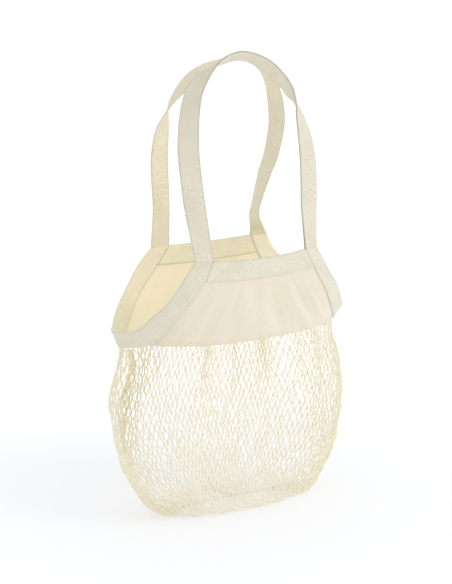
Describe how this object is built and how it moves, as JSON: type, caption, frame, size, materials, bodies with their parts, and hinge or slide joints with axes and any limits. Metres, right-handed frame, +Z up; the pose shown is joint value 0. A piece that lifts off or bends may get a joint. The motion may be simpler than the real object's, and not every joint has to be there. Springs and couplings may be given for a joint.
{
  "type": "string shopping bag",
  "caption": "Cotton string shopping bag: a round-cornered net sack below cloth panels edged with folded tape, hanging by long tape handles.",
  "frame": {"origin": "the hanging point, on the underside of the handles at the top of their loops, in the middle of the bag", "axes": "+X along the bag to its right, seen from the front; -Y out of its front; +Z up"},
  "size_m": [0.4016, 0.1706, 0.6886],
  "materials": {
    "cotton_cloth": "matt woven cotton",
    "cotton_tape": "matt twill tape",
    "cotton_string": "matt knitted cotton string"
  },
  "bodies": {
    "root": {"front_panel": "cotton_cloth", "back_panel": "cotton_cloth", "front_top_band": "cotton_tape", "back_top_band": "cotton_tape", "left_side_binding": "cotton_tape", "right_side_binding": "cotton_tape", "front_handle": "cotton_tape", "back_handle": "cotton_tape", "net_body": "cotton_string"}
  },
  "joints": []
}
